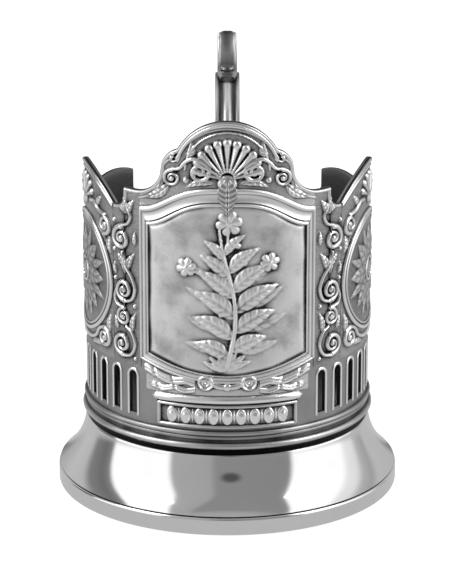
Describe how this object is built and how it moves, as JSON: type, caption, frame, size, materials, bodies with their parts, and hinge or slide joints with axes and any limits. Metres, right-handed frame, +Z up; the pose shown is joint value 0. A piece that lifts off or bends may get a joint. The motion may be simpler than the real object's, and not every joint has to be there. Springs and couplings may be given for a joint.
{
  "type": "tea glass holder",
  "caption": "Pierced metal tea glass holder with scalloped rim, crest, framed relief panel, flared polished foot and a strip handle with thumb rest.",
  "frame": {"origin": "centre of the foot, on the table it stands on", "axes": "+Z up along the body's axis; the front panel faces -Y; the handle stands at the back, on +Y; +X is to the right seen from the front"},
  "size_m": [0.085, 0.1182, 0.1008],
  "materials": {
    "foot_plate": "polished",
    "seat_plate": "satin",
    "rivet": "satin",
    "body_patina": "satin",
    "raised_relief": "satin",
    "panel_field": "satin",
    "dark_relief": "satin",
    "handle_patina": "satin"
  },
  "bodies": {
    "root": {"foot_rim_ring": "foot_plate", "foot_bell": "foot_plate", "glass_seat": "seat_plate", "seat_rivets": "rivet", "body_shell": "body_patina", "base_collar": "body_patina", "crest_rim_wire": "raised_relief", "side_rim_wire_right": "raised_relief", "side_rim_wire_left": "raised_relief", "rear_rim_wire_right": "raised_relief", "rear_rim_wire_left": "raised_relief", "panel_frame": "raised_relief", "panel_plate": "panel_field", "panel_spray": "dark_relief", "name_plate": "dark_relief", "name_plate_roll": "raised_relief", "ribbon_bow": "raised_relief", "ribbon_wing_right": "raised_relief", "ribbon_wing_left": "raised_relief", "crest_palmette": "raised_relief", "crest_scroll_right": "raised_relief", "crest_scroll_left": "raised_relief", "scroll_column_right": "raised_relief", "scroll_column_left": "raised_relief", "medallion_frame_right": "raised_relief", "medallion_frame_left": "raised_relief", "medallion_plate_right": "dark_relief", "medallion_plate_left": "dark_relief", "seam_strap": "body_patina", "handle_strip": "handle_patina", "thumb_rest": "handle_patina", "handle_upper_rivets": "rivet", "handle_lower_rivet": "rivet", "thumb_rest_rivet": "rivet"}
  },
  "joints": []
}
